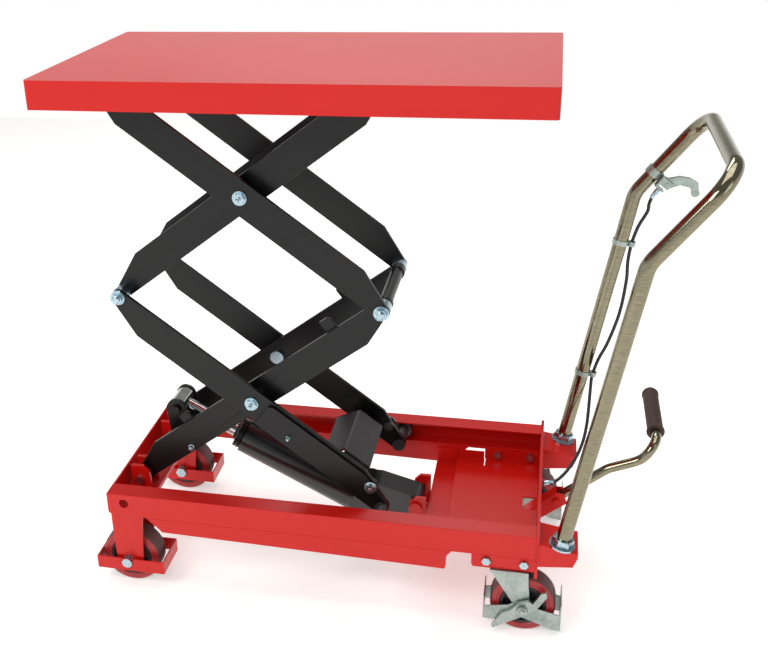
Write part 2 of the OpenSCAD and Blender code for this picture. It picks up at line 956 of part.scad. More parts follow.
// Catmull-Rom through the points, with the ends repeated
function cab_at(i) = cab_pts[max(0, min(cab_n, i))];
function cab_cr(a, b, c, d, t) = 0.5 * (2 * b + (c - a) * t + (2 * a - 5 * b + 4 * c - d) * t * t
  + (3 * b - a - 3 * c + d) * t * t * t);
function cab_seg(i, t) = cab_cr(cab_at(i - 1), cab_at(i), cab_at(i + 1), cab_at(i + 2), t);
function cab_u(u) = let (i = min(cab_n - 1, floor(u)))
  cab_seg(i, u - i);
cab_line = [for (j = [0:cab_rings]) cab_u(j * cab_n / cab_rings)];
function unit(v) = v / norm(v);
function cab_dir(j) = unit(cab_line[min(cab_rings, j + 1)] - cab_line[max(0, j - 1)]);
function cab_side(j) = unit(cross(cab_dir(j), [0.3, 0, 1]) + [0, 0.001, 0]);
function cab_vert(j, m) = let (a = 360 * m / cab_sides, p = cab_side(j), q = cross(cab_dir(j), p))
  cab_line[j] + cab_r * (cos(a) * p + sin(a) * q);

module release_cable() {
  verts = [for (j = [0:cab_rings]) for (m = [0:cab_sides - 1]) cab_vert(j, m)];
  walls = [for (j = [0:cab_rings - 1]) for (m = [0:cab_sides - 1])
    [j * cab_sides + m, j * cab_sides + (m + 1) % cab_sides,
      (j + 1) * cab_sides + (m + 1) % cab_sides, (j + 1) * cab_sides + m]];
  start = [[for (m = [cab_sides - 1:-1:0]) m]];
  finish = [[for (m = [0:cab_sides - 1]) cab_rings * cab_sides + m]];
  color("#131214")
    centred()
      polyhedron(points = verts, faces = concat(start, walls, finish));
}

// ---------- ram ----------

// along the ram from its upper pivot
module on_ram() {
  translate([ram_a[0], 0, ram_a[1]])
    rotate([0, 90 + ram_slope, 0])
      children();
}

module ram_barrel() {
  ex = ram_a[0] + bar_s * cos(ram_slope);
  ez = ram_a[1] - bar_s * sin(ram_slope);
  bx = ram_b[0];
  bz = ram_b[1];
  color("#121114")
    centred()
      difference() {
        union() {
          on_ram()
            translate([0, 0, gland_s + 16])
              cylinder(r = bar_r, h = bar_s - gland_s - 16);
          on_ram()
            translate([0, 0, gland_s])
              cylinder(r = bar_r - 6, h = 20);
          slab(-40, 40)
            polygon([[ex - 14, ez - 32], [ex + 24, ez - 42], [ex + 58, ez - 42], [ex + 58, ez + 22],
              [ex + 30, ez + 46], [ex, ez + 46]]);
          slab(-30, 30)
            union() {
              polygon([[ex + 20, ez + 10], [ex + 20, ez + 50], [ex + 50, ez + 50], [bx, bz + 14],
                [bx, bz - 14], [bx - 20, bz - 30], [ex + 58, ez - 36]]);
              pt(ram_b, 14);
            }
        }
        on_ram()
          translate([0, 0, gland_s - 1])
            cylinder(r = rr + fit, h = 30);
        on_ram()
          translate([0, 0, gland_s + 24])
            cylinder(r = bar_r - 8, h = bar_s - gland_s - 40);
        ybar(bx, bz, bore_r, -60, 60);
        translate([ped_x - heel, ped_y, ped_z - 30])
          cylinder(r = 6 + fit, h = bz + 8 - ped_z + 30);
      }
}

module ram_rod() {
  color("#c9c9c6")
    centred()
      union() {
        on_ram()
          cylinder(r = rr, h = rod_s);
        ybar(ram_a[0], ram_a[1], rr + 5, -28, 28);
      }
}

plug_z = ped_z - 16.5;

module pump_plunger() {
  color("#c9c9c6")
    centred()
      translate([ped_x - heel, ped_y, plug_z])
        cylinder(r = 6, h = ram_b[1] - 16 - plug_z);
}

// ---------- wheels ----------

// y along the axle, so the profile is drawn as radius against width
module wheel_ring(profile_w, r0, r1, x, y) {
  translate([x, y, wr])
    rotate([90, 0, 0])
      rotate_extrude()
        polygon([[r0, -profile_w / 2], [r1 - 4, -profile_w / 2], [r1, -profile_w / 2 + 5],
          [r1, profile_w / 2 - 5], [r1 - 4, profile_w / 2], [r0, profile_w / 2]]);
}

module wheel_core(w, r1, x, y, bore) {
  translate([x, y, wr])
    rotate([90, 0, 0])
      rotate_extrude()
        polygon([[bore + fit, -w / 2], [20, -w / 2], [22, -w / 2 + 9], [r1 - 8, -w / 2 + 9],
          [r1 - 6, -w / 2 + 1], [r1, -w / 2 + 1], [r1, w / 2 - 1], [r1 - 6, w / 2 - 1],
          [r1 - 8, w / 2 - 9], [22, w / 2 - 9], [20, w / 2], [bore + fit, w / 2]]);
}

core_r = wr - 19;

module front_tyre(s) {
  color("#b8262a")
    centred()
      wheel_ring(48, core_r + fit, wr, front_x, s * front_y);
}

module front_hub(s) {
  color("#18171a")
    centred()
      wheel_core(48, core_r, front_x, s * front_y, 8);
}

module castor_tyre(s) {
  color("#b8262a")
    centred()
      wheel_ring(48, core_r + fit, wr, cas_x, s * wheel_y);
}

module castor_hub(s) {
  color("#18171a")
    centred()
      wheel_core(48, core_r, cas_x, s * wheel_y, 6);
}

// castor fork: plates, head, kingpin, axle and toe guard
head_z = rail_z - 31;

module castor_leg() {
  difference() {
    union() {
      polygon([[cas_x - 66, head_z - gap], [cas_x + 8, head_z - gap], [cas_x + 9, head_z - 26],
        [cas_x + 15, wr], [cas_x - 15, wr]]);
      pt([cas_x, wr], 15);
    }
    pt([cas_x, wr], 6 + fit);
  }
}

// bow-tie plate of the guard
module guard_plate() {
  difference() {
    polygon([[cas_x - 74, wr - 6], [cas_x - 28, wr + 2], [cas_x - 12, wr + 13], [cas_x + 12, wr + 13],
      [cas_x + 25, wr + 1], [cas_x + 73, wr - 11], [cas_x + 73, wr - 48], [cas_x + 51, wr - 46],
      [cas_x + 35, wr - 37], [cas_x, wr - 25], [cas_x - 20, wr - 22], [cas_x - 55, wr - 37],
      [cas_x - 74, wr - 36]]);
    pt([cas_x, wr], 6 + fit);
  }
}

module castor_fork(s) {
  color("#77827f")
    centred() {
      y = wheel_y;
      translate([king_x, s * y, head_z - gap - 6])
        cylinder(r = 27, h = 6);
      translate([king_x, s * y, head_z - gap - 1])
        cylinder(r = 8, h = 14);
      side_block(s, cas_x - 66, cas_x + 8, y - 30, y + 30, head_z - gap - 6, head_z - gap - 2);
      side_slab(s, y + 26, y + 30)
        castor_leg();
      side_slab(s, y - 30, y - 26)
        castor_leg();
      side_bar(s, cas_x, wr, 6, y - 36, y + 51);
      side_bar(s, cas_x, wr, 10, y - 26, y - 24 - gap);
      side_bar(s, cas_x, wr, 10, y + 24 + gap, y + 26);
      side_hex(s, cas_x, wr, 11, y - 38, y - 32);
      side_hex(s, cas_x, wr, 11, y + 41, y + 48);
      for (p = [30, -32])
        side_slab(s, y + p, y + p + 2)
          guard_plate();
      side_block(s, cas_x - 76, cas_x - 74, y - 32, y + 32, wr - 36, wr + 18);
      side_block(s, cas_x + 73, cas_x + 75, y - 32, y + 32, wr - 48, wr + 16);
    }
}

module castor_brake(s) {
  color("#8b9a9e")
    centred()
      side_slab(s, wheel_y + 33, wheel_y + 40)
        difference() {
          union() {
            polygon([[cas_x - 9, wr + 13], [cas_x + 12, wr + 22], [cas_x + 20, wr + 16], [cas_x + 34, wr + 42],
              [cas_x + 43, wr + 46], [cas_x + 46, wr + 36], [cas_x + 30, wr + 8], [cas_x + 9, wr - 12],
              [cas_x - 14, wr - 26], [cas_x - 55, wr - 52], [cas_x - 58, wr - 47], [cas_x - 40, wr - 14],
              [cas_x - 22, wr - 4]]);
          }
          pt([cas_x, wr], 6 + fit);
        }
}

// ---------- pedal ----------

// rest points of the pedal arm
arm_p = [ped_x, ped_z];
knee_p = [base_x1 - 35, ped_z];
foot_a = 40;
foot_l = 118;
ped_r = 10;

function foot_x(d, n) = knee_p[0] + d * cos(foot_a) - n * sin(foot_a);
function foot_z(d, n) = knee_p[1] + d * sin(foot_a) + n * cos(foot_a);

module ped_side() {
  difference() {
    polygon([[ped_x - heel - 12, ped_z - 24], [ped_x - heel - 12, ped_z - 18], [ped_x - 24, ped_z + 8],
      [ped_x + 10, ped_z + 12], [knee_p[0] - 6, ped_z + 12], [foot_x(foot_l - 12, 16), foot_z(foot_l - 12, 16)],
      [foot_x(foot_l, 6), foot_z(foot_l, 6)], [foot_x(foot_l - 6, -16), foot_z(foot_l - 6, -16)],
      [knee_p[0] + 6, ped_z - 14], [ped_x, ped_z - 16]]);
    pt(arm_p, 6 + fit);
  }
}

module pedal_arm() {
  x0 = ped_x - heel;
  color("#c41a12")
    centred() {
      for (y = [ped_y - 15, ped_y + 12])
        slab(y, y + 3)
          ped_side();
      slab(ped_y - 12, ped_y + 12)
        polygon([[x0 - 12, ped_z - 24], [x0 - 12, ped_z - 18.5], [x0 + 12, ped_z - 18.5],
          [x0 + 12, ped_z - 22]]);
      slab(ped_y - 12, ped_y + 12)
        polygon([[ped_x + 16, ped_z + 9], [ped_x + 16, ped_z + 12], [knee_p[0] - 6, ped_z + 12],
          [foot_x(foot_l - 12, 16), foot_z(foot_l - 12, 16)],
          [foot_x(foot_l - 12, 13), foot_z(foot_l - 12, 13)], [knee_p[0] - 5, ped_z + 9]]);
      for (y = [ped_y - 21, ped_y + 15])
        ybar(foot_x(foot_l - 22, 0), foot_z(foot_l - 22, 0), 7, y, y + 6);
    }
}

// chrome foot tube: three straights in one plane, then a turn to the far side
ped_turn = [17, 33, 90];
ped_len = [178, 46, 3];
ped_bend = [50, 50, 32];

// the frame at the start of the tube, looking along it
module foot_frame() {
  translate([foot_x(38, 0), ped_y, foot_z(38, 0)])
    rotate([0, 90 - foot_a, 0])
      children();
}

module along(i) {
  translate([0, 0, ped_len[i]])
    children();
}

// i is the bend's number, way the direction it leans to
module foot_bend(i, way) {
  rotate([0, 0, way]) {
    lean(ped_bend[i], ped_turn[i])
      circle(ped_r - fit);
    after_lean(ped_bend[i], ped_turn[i])
      rotate([0, 0, -way])
        children();
  }
}

module foot_rod(i) {
  cylinder(r = ped_r, h = ped_len[i]);
}

module pedal_tube() {
  color("#b9b8b4")
    centred()
      foot_frame() {
        foot_rod(0);
        along(0)
          foot_bend(0, 0) {
            foot_rod(1);
            along(1)
              foot_bend(1, 180) {
                foot_rod(2);
                along(2)
                  foot_bend(2, 90)
                    cylinder(r = ped_r, h = 170);
              }
          }
      }
}

module foot_grip() {
  difference() {
    union() {
      cylinder(r = 16, h = 172);
      cylinder(r = 18, h = 6);
      translate([0, 0, 160])
        cylinder(r = 17.5, h = 8);
    }
    translate([0, 0, -1])
      cylinder(r = ped_r + fit, h = 158);
  }
}

module skip_bend(i, way) {
  rotate([0, 0, way])
    after_lean(ped_bend[i], ped_turn[i])
      rotate([0, 0, -way])
        children();
}

module pedal_grip() {
  color("#3a2722")
    centred()
      foot_frame()
        along(0)
          skip_bend(0, 0)
            along(1)
              skip_bend(1, 180)
                along(2)
                  skip_bend(2, 90)
                    translate([0, 0, 15])
                      foot_grip();
}

// ---------- draw ----------

rail(-1);  // rail_left
rail(1);  // rail_right
side_skirts();
front_crossmember();
pivot_clevises();
end_plate();
floor_plates();
pump_lugs();
handle_sockets();
front_forks();
toe_guards();
front_axles();
handle_tube();
frame_fasteners();
cable_clips();
release_cable();
lower_inner_arm(-1);  // lower_inner_arm_left
lower_inner_arm(1);  // lower_inner_arm_right
ram_lugs();
joint_shaft(roll_x);  // right_joint_shaft
joint_bolts(roll_x);  // right_joint_bolts
centre_pins(low_cz);  // lower_centre_pins
lower_outer_arm(-1);  // lower_outer_arm_left
lower_outer_arm(1);  // lower_outer_arm_right
arm_doublers();
cross_plate();
lower_roller(-1);  // lower_roller_left
lower_roller(1);  // lower_roller_right
upper_outer_arm(-1);  // upper_outer_arm_left
upper_outer_arm(1);  // upper_outer_arm_right
top_pivot_pins();
upper_inner_arm(-1);  // upper_inner_arm_left
upper_inner_arm(1);  // upper_inner_arm_right
left_joint_shaft();
joint_bolts(piv_x);  // left_joint_bolts
centre_pins(up_cz);  // upper_centre_pins
upper_roller(-1);  // upper_roller_left
upper_roller(1);  // upper_roller_right
platform_deck();
platform_guides();
ram_barrel();
ram_rod();
pump_plunger();
front_tyre(-1);  // front_tyre_left
front_tyre(1);  // front_tyre_right
front_hub(-1);  // front_hub_left
front_hub(1);  // front_hub_right
castor_fork(-1);  // castor_fork_left
castor_fork(1);  // castor_fork_right
castor_tyre(-1);  // castor_tyre_left
castor_tyre(1);  // castor_tyre_right
castor_hub(-1);  // castor_hub_left
castor_hub(1);  // castor_hub_right
castor_brake(-1);  // castor_brake_left
castor_brake(1);  // castor_brake_right
pedal_arm();
pedal_tube();
pedal_grip();
release_lever();
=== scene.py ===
import json
import math
import bmesh
import bpy
from mathutils import Matrix, Vector


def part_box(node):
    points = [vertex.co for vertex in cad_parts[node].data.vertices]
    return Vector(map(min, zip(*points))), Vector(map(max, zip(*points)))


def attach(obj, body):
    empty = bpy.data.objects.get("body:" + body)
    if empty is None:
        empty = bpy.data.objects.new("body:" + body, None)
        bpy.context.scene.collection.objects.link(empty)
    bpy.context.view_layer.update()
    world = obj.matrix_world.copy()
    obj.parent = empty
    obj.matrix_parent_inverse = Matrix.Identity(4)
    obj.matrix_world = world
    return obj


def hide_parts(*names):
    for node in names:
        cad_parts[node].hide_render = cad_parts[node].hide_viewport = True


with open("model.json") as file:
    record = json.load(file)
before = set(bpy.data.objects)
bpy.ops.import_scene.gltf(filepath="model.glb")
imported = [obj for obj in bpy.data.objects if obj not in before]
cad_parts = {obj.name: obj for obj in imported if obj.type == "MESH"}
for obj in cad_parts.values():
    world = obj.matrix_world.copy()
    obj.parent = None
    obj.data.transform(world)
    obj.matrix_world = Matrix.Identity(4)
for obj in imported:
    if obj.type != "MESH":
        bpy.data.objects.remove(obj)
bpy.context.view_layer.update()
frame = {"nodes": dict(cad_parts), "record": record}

MM = 0.001
MIDDLE = 603.7547  # how far the drawn left edge is from the row's origin


def at(x, y, z):
    """A point given in millimetres from the platform's left edge, in the row frame."""
    return Vector(((x - MIDDLE) * MM, y * MM, z * MM))


# ---------- layout in millimetres, as the CAD has it ----------

RAIL_Z = 175
RAIL_TOP = 227
RAIL_OUT = 218
BASE_END = 919
PIVOT_X = 79
PIVOT_Z = RAIL_Z + 27
ARM = 684
LIFT = math.radians(39.3)
RUN = ARM * math.cos(LIFT)
RISE = ARM * math.sin(LIFT)
JOINT_Z = PIVOT_Z + RISE
MID_X = PIVOT_X + RUN / 2
PLATE_ANGLE = LIFT - math.asin(16 / (ARM / 2))
RAM_TOP = (145, PIVOT_Z + 136)
RAM_SLOPE = math.radians(27)
GLAND = 142  # from the ram's upper pin to the end of its barrel
OUTER_FACE = 135  # of the doublers on the lower outer arms, from the middle plane
INNER_FACE = 97  # of the inner arms
CENTRE_NUT = 139  # outer face of a centre pin's nut
JOINT_NUT = 141  # outer face of a joint bolt's nut
SOCKET_X = BASE_END + 6
LEG_X = SOCKET_X + 42
TILT = math.radians(10)
BAR_TILT = math.radians(37.4)
LEG_Y = RAIL_OUT - 18
HANDLE_H = 947
TUBE_R = 14.5
LEG_Z = RAIL_Z + 36 - 42 * math.tan(TILT)
LEG = (HANDLE_H - LEG_Z) * 0.795
KNEE = (LEG_X + LEG * math.sin(TILT), LEG_Z + LEG * math.cos(TILT))
UPPER = (HANDLE_H - KNEE[1]) / math.cos(BAR_TILT)


# ---------- material kit ----------

def linear(code):
    """An sRGB hex value as the linear colour that the shaders work in."""
    parts = [int(code[i:i + 2], 16) / 255 for i in (1, 3, 5)]
    return [c / 12.92 if c <= 0.04045 else ((c + 0.055) / 1.055) ** 2.4 for c in parts] + [1.0]


def per_mm(size):
    """The texture scale that gives features of that size in millimetres."""
    return 1000 / size


def feed(tree, node, sockets):
    """Sets a node's sockets. A value is a number, a colour, or (node, output) to link."""
    for name, value in sockets.items():
        if isinstance(value, tuple):
            tree.links.new(value[0].outputs[value[1]], node.inputs[name])
        else:
            node.inputs[name].default_value = value


def add(tree, kind, settings, sockets):
    """One node with its settings and its sockets. A ramp is a row of (position, hex colour)."""
    node = tree.nodes.new(kind)
    for name, value in settings.items():
        if name == "ramp":
            for stop, (position, code) in zip(node.color_ramp.elements, value):
                stop.position = position
                stop.color = linear(code)
        else:
            setattr(node, name, value)
    feed(tree, node, sockets)
    return node


def start(name, sockets):
    """A material with its shader and the object's own coordinates."""
    material = bpy.data.materials.new(name)
    material.use_nodes = True
    tree = material.node_tree
    tree.nodes.clear()
    coords = add(tree, "ShaderNodeTexCoord", {}, {})
    shader = add(tree, "ShaderNodeBsdfPrincipled", {}, sockets)
    add(tree, "ShaderNodeOutputMaterial", {}, {"Surface": (shader, "BSDF")})
    return material, tree, shader, (coords, "Object")


# the part of a pattern's range that its roughness follows
SPREAD = {"From Min": 0.15, "From Max": 0.85}


# Gloss polyester powder coat: a deep red film with slight orange peel and a clear, sharp highlight.
def red_powder_coat():
    material, tree, shader, where = start("red_powder_coat", {"Specular IOR Level": 0.35, "Coat Weight": 0.08,
                                                              "Coat Roughness": 0.1})
    cloud = add(tree, "ShaderNodeTexNoise", {}, {"Vector": where, "Scale": per_mm(240), "Detail": 2.0})
    colour = add(tree, "ShaderNodeValToRGB", {"ramp": ((0.1, "#C4110A"), (0.9, "#CE160E"))},
                 {"Fac": (cloud, "Fac")})
    gloss = add(tree, "ShaderNodeMapRange", {},
                {"Value": (cloud, "Fac"), **SPREAD, "To Min": 0.27, "To Max": 0.31})
    peel = add(tree, "ShaderNodeTexNoise", {}, {"Vector": where, "Scale": per_mm(6), "Detail": 0.0})
    bump = add(tree, "ShaderNodeBump", {},
               {"Height": (peel, "Fac"), "Strength": 0.03, "Distance": 0.1 * MM})
    feed(tree, shader, {"Base Color": (colour, "Color"), "Roughness": (gloss, "Result"),
                        "Normal": (bump, "Normal")})
    return material


# Satin powder coat on the scissor: near black, with a broad soft sheen and a fine pebble.
def black_powder_coat():
    material, tree, shader, where = start("black_powder_coat", {"IOR": 1.4, "Coat Weight": 0.06,
                                                                "Coat Roughness": 0.3})
    cloud = add(tree, "ShaderNodeTexNoise", {}, {"Vector": where, "Scale": per_mm(60), "Detail": 5.0})
    colour = add(tree, "ShaderNodeValToRGB", {"ramp": ((0.3, "#040405"), (0.72, "#09080A"))},
                 {"Fac": (cloud, "Fac")})
    gloss = add(tree, "ShaderNodeMapRange", {},
                {"Value": (cloud, "Fac"), **SPREAD, "To Min": 0.30, "To Max": 0.42})
    pebble = add(tree, "ShaderNodeTexNoise", {}, {"Vector": where, "Scale": per_mm(1.8), "Detail": 2.0})
    bump = add(tree, "ShaderNodeBump", {},
               {"Height": (pebble, "Fac"), "Strength": 0.14, "Distance": 0.1 * MM})
    feed(tree, shader, {"Base Color": (colour, "Color"), "Roughness": (gloss, "Result"),
                        "Normal": (bump, "Normal")})
    return material


# Dark grey satin enamel on the cross plate: flatter than the black, with a dusting of handling marks.
def grey_enamel():
    material, tree, shader, where = start("grey_enamel", {"IOR": 1.5})
    cloud = add(tree, "ShaderNodeTexNoise", {}, {"Vector": where, "Scale": per_mm(25), "Detail": 6.0})
    colour = add(tree, "ShaderNodeValToRGB", {"ramp": ((0.25, "#232326"), (0.75, "#39383B"))},
                 {"Fac": (cloud, "Fac")})
    gloss = add(tree, "ShaderNodeMapRange", {},
                {"Value": (cloud, "Fac"), **SPREAD, "To Min": 0.36, "To Max": 0.52})
    bump = add(tree, "ShaderNodeBump", {},
               {"Height": (cloud, "Fac"), "Strength": 0.05, "Distance": 0.2 * MM})
    feed(tree, shader, {"Base Color": (colour, "Color"), "Roughness": (gloss, "Result"),
                        "Normal": (bump, "Normal")})
    return material


# Hard chrome over polished tube: a mirror with long, faint polishing lines round the tube. Its colour is
# darkened and tinted olive: painted shade and a painted reflection of the surroundings.
def shaded_chrome():
    material, tree, shader, where = start("shaded_chrome", {"Metallic": 1.0})
    lines = add(tree, "ShaderNodeMapping", {}, {"Vector": where, "Scale": [1.0, 1.0, 12.0]})
    polish = add(tree, "ShaderNodeTexNoise", {}, {"Vector": (lines, "Vector"), "Scale": per_mm(14),
                                                    "Detail": 3.0})
    # painted shade: a dark olive ramp in place of the bright colour of chrome
    colour = add(tree, "ShaderNodeValToRGB", {"ramp": ((0.3, "#77725F"), (0.7, "#969079"))},
                 {"Fac": (polish, "Fac")})
    gloss = add(tree, "ShaderNodeMapRange", {},
                {"Value": (polish, "Fac"), **SPREAD, "To Min": 0.05, "To Max": 0.11})
    feed(tree, shader, {"Base Color": (colour, "Color"), "Roughness": (gloss, "Result")})
    return material


# Ground and chromed ram rod: plain bright chrome, brighter than the handle, whose chrome colour carries
# painted shade.
def ground_chrome():
    material, tree, shader, where = start("ground_chrome", {"Metallic": 1.0})
    film = add(tree, "ShaderNodeTexNoise", {}, {"Vector": where, "Scale": per_mm(30), "Detail": 3.0})
    colour = add(tree, "ShaderNodeValToRGB", {"ramp": ((0.3, "#C6C8CA"), (0.7, "#DEDFE0"))},
                 {"Fac": (film, "Fac")})
    gloss = add(tree, "ShaderNodeMapRange", {},
                {"Value": (film, "Fac"), **SPREAD, "To Min": 0.06, "To Max": 0.12})
    feed(tree, shader, {"Base Color": (colour, "Color"), "Roughness": (gloss, "Result")})
    return material


# Gloss enamel on the ram barrel: black, with a long bluish highlight that a thin oil film breaks up.
def gloss_black_enamel():
    material, tree, shader, where = start("gloss_black_enamel", {"IOR": 1.5, "Coat Weight": 0.5,
                                                                 "Coat Roughness": 0.16})
    oil = add(tree, "ShaderNodeTexNoise", {}, {"Vector": where, "Scale": per_mm(45), "Detail": 5.0})
    colour = add(tree, "ShaderNodeValToRGB", {"ramp": ((0.3, "#07070A"), (0.7, "#0E0F15"))},
                 {"Fac": (oil, "Fac")})
    gloss = add(tree, "ShaderNodeMapRange", {},
                {"Value": (oil, "Fac"), **SPREAD, "To Min": 0.26, "To Max": 0.4})
    bump = add(tree, "ShaderNodeBump", {},
               {"Height": (oil, "Fac"), "Strength": 0.05, "Distance": 0.2 * MM})
    feed(tree, shader, {"Base Color": (colour, "Color"), "Roughness": (gloss, "Result"),
                        "Normal": (bump, "Normal")})
    return material


# Clear zinc plate on pressed steel: grey-green, with the crystals of the plating showing faintly.
def zinc_plate():
    material, tree, shader, where = start("zinc_plate", {"Metallic": 0.9})
    crystal = add(tree, "ShaderNodeTexVoronoi", {}, {"Vector": where, "Scale": per_mm(6)})
    cloud = add(tree, "ShaderNodeTexNoise", {}, {"Vector": where, "Scale": per_mm(30), "Detail": 5.0})
    both = add(tree, "ShaderNodeMath", {"operation": "MULTIPLY_ADD"},
               {0: (crystal, "Distance"), 1: 0.25, 2: (cloud, "Fac")})
    colour = add(tree, "ShaderNodeValToRGB", {"ramp": ((0.3, "#82908A"), (0.85, "#B4BFBA"))},
                 {"Fac": (both, "Value")})
    gloss = add(tree, "ShaderNodeMapRange", {},
                {"Value": (cloud, "Fac"), **SPREAD, "To Min": 0.3, "To Max": 0.46})
    bump = add(tree, "ShaderNodeBump", {},
               {"Height": (crystal, "Distance"), "Strength": 0.06, "Distance": 0.1 * MM})
    feed(tree, shader, {"Base Color": (colour, "Color"), "Roughness": (gloss, "Result"),
                        "Normal": (bump, "Normal")})
    return material


# Blue-passivated zinc on fasteners: bright and cold, with a light grain from rolling and barrel plating.
def bright_zinc():
    material, tree, shader, where = start("bright_zinc", {"Metallic": 1.0})
    grain = add(tree, "ShaderNodeTexNoise", {}, {"Vector": where, "Scale": per_mm(4), "Detail": 4.0})
    colour = add(tree, "ShaderNodeValToRGB", {"ramp": ((0.3, "#93AEBB"), (0.7, "#C2D6DE"))},
                 {"Fac": (grain, "Fac")})
    gloss = add(tree, "ShaderNodeMapRange", {},
                {"Value": (grain, "Fac"), **SPREAD, "To Min": 0.2, "To Max": 0.36})
    bump = add(tree, "ShaderNodeBump", {},
               {"Height": (grain, "Fac"), "Strength": 0.05, "Distance": 0.08 * MM})
    feed(tree, shader, {"Base Color": (colour, "Color"), "Roughness": (gloss, "Result"),
                        "Normal": (bump, "Normal")})
    return material


# Turned mild steel: grey, with fine lathe rings that blur the highlight.
def turned_steel():
    material, tree, shader, where = start("turned_steel", {"Metallic": 1.0})
    rings = add(tree, "ShaderNodeTexWave", {"wave_type": "BANDS", "bands_direction": "Y"},
                {"Vector": where, "Scale": per_mm(9), "Distortion": 0.6, "Detail": 2.0})
    colour = add(tree, "ShaderNodeValToRGB", {"ramp": ((0.0, "#55565A"), (1.0, "#77797E"))},
                 {"Fac": (rings, "Fac")})
    gloss = add(tree, "ShaderNodeMapRange", {},
                {"Value": (rings, "Fac"), **SPREAD, "To Min": 0.3, "To Max": 0.4})
    feed(tree, shader, {"Base Color": (colour, "Color"), "Roughness": (gloss, "Result")})
    return material


# Cast polyurethane: an even red with a soft gloss and faint casting marks.
def cast_urethane():
    material, tree, shader, where = start("cast_urethane", {"IOR": 1.5, "Coat Weight": 0.2,
                                                            "Coat Roughness": 0.25})
    cloud = add(tree, "ShaderNodeTexNoise", {}, {"Vector": where, "Scale": per_mm(20), "Detail": 4.0})
    colour = add(tree, "ShaderNodeValToRGB", {"ramp": ((0.3, "#9A1A20"), (0.7, "#B02428"))},
                 {"Fac": (cloud, "Fac")})
    gloss = add(tree, "ShaderNodeMapRange", {},
                {"Value": (cloud, "Fac"), **SPREAD, "To Min": 0.32, "To Max": 0.45})
    bump = add(tree, "ShaderNodeBump", {},
               {"Height": (cloud, "Fac"), "Strength": 0.06, "Distance": 0.2 * MM})
    feed(tree, shader, {"Base Color": (colour, "Color"), "Roughness": (gloss, "Result"),
                        "Normal": (bump, "Normal")})
    return material


# The same urethane where it rolls on the floor: ground dull and greyed by dust, with short scuffs.
def scuffed_urethane():
    material, tree, shader, where = start("scuffed_urethane", {"IOR": 1.5})
    dust = add(tree, "ShaderNodeTexNoise", {}, {"Vector": where, "Scale": per_mm(7), "Detail": 8.0,
                                                  "Roughness": 0.7})
    colour = add(tree, "ShaderNodeValToRGB", {"ramp": ((0.35, "#6B3F3E"), (0.65, "#5A5350"))},
                 {"Fac": (dust, "Fac")})
    gloss = add(tree, "ShaderNodeMapRange", {},
                {"Value": (dust, "Fac"), **SPREAD, "To Min": 0.6, "To Max": 0.8})
    bump = add(tree, "ShaderNodeBump", {},
               {"Height": (dust, "Fac"), "Strength": 0.3, "Distance": 0.3 * MM})
    feed(tree, shader, {"Base Color": (colour, "Color"), "Roughness": (gloss, "Result"),
                        "Normal": (bump, "Normal")})
    return material


# Glass-filled nylon, moulded: black with a dull, slightly mottled skin.
def moulded_nylon():
    material, tree, shader, where = start("moulded_nylon", {"IOR": 1.53})
    skin = add(tree, "ShaderNodeTexNoise", {}, {"Vector": where, "Scale": per_mm(3), "Detail": 5.0})
    colour = add(tree, "ShaderNodeValToRGB", {"ramp": ((0.3, "#100F12"), (0.7, "#1F1D21"))},
                 {"Fac": (skin, "Fac")})
    gloss = add(tree, "ShaderNodeMapRange", {},
                {"Value": (skin, "Fac"), **SPREAD, "To Min": 0.42, "To Max": 0.58})
    bump = add(tree, "ShaderNodeBump", {},
               {"Height": (skin, "Fac"), "Strength": 0.12, "Distance": 0.08 * MM})
    feed(tree, shader, {"Base Color": (colour, "Color"), "Roughness": (gloss, "Result"),
                        "Normal": (bump, "Normal")})
    return material


# Moulded rubber of the pedal's grip: dark brown, matt, with a powdery bloom on the high spots.
def grip_rubber():
    material, tree, shader, where = start("grip_rubber", {"IOR": 1.5})
    bloom = add(tree, "ShaderNodeTexNoise", {}, {"Vector": where, "Scale": per_mm(10), "Detail": 6.0})
    colour = add(tree, "ShaderNodeValToRGB", {"ramp": ((0.3, "#33221E"), (0.7, "#463029"))},
                 {"Fac": (bloom, "Fac")})
    gloss = add(tree, "ShaderNodeMapRange", {},
                {"Value": (bloom, "Fac"), **SPREAD, "To Min": 0.5, "To Max": 0.7})
    bump = add(tree, "ShaderNodeBump", {},
               {"Height": (bloom, "Fac"), "Strength": 0.15, "Distance": 0.12 * MM})
    feed(tree, shader, {"Base Color": (colour, "Color"), "Roughness": (gloss, "Result"),
                        "Normal": (bump, "Normal")})
    return material


# PVC sheath over a wound steel casing: the winding shows as fine rings under a smooth black skin.
def cable_sheath():
    material, tree, shader, where = start("cable_sheath", {"IOR": 1.53})
    winding = add(tree, "ShaderNodeTexWave", {"bands_direction": "Z"},
                  {"Vector": where, "Scale": per_mm(10), "Distortion": 0.2})
    skin = add(tree, "ShaderNodeTexNoise", {}, {"Vector": where, "Scale": per_mm(12), "Detail": 3.0})
    colour = add(tree, "ShaderNodeValToRGB", {"ramp": ((0.3, "#0C0C0E"), (0.7, "#1A1A1D"))},
                 {"Fac": (skin, "Fac")})
    gloss = add(tree, "ShaderNodeMapRange", {},
                {"Value": (skin, "Fac"), **SPREAD, "To Min": 0.38, "To Max": 0.52})
    bump = add(tree, "ShaderNodeBump", {},
               {"Height": (winding, "Fac"), "Strength": 0.12, "Distance": 0.1 * MM})
    feed(tree, shader, {"Base Color": (colour, "Color"), "Roughness": (gloss, "Result"),
                        "Normal": (bump, "Normal")})
    return material


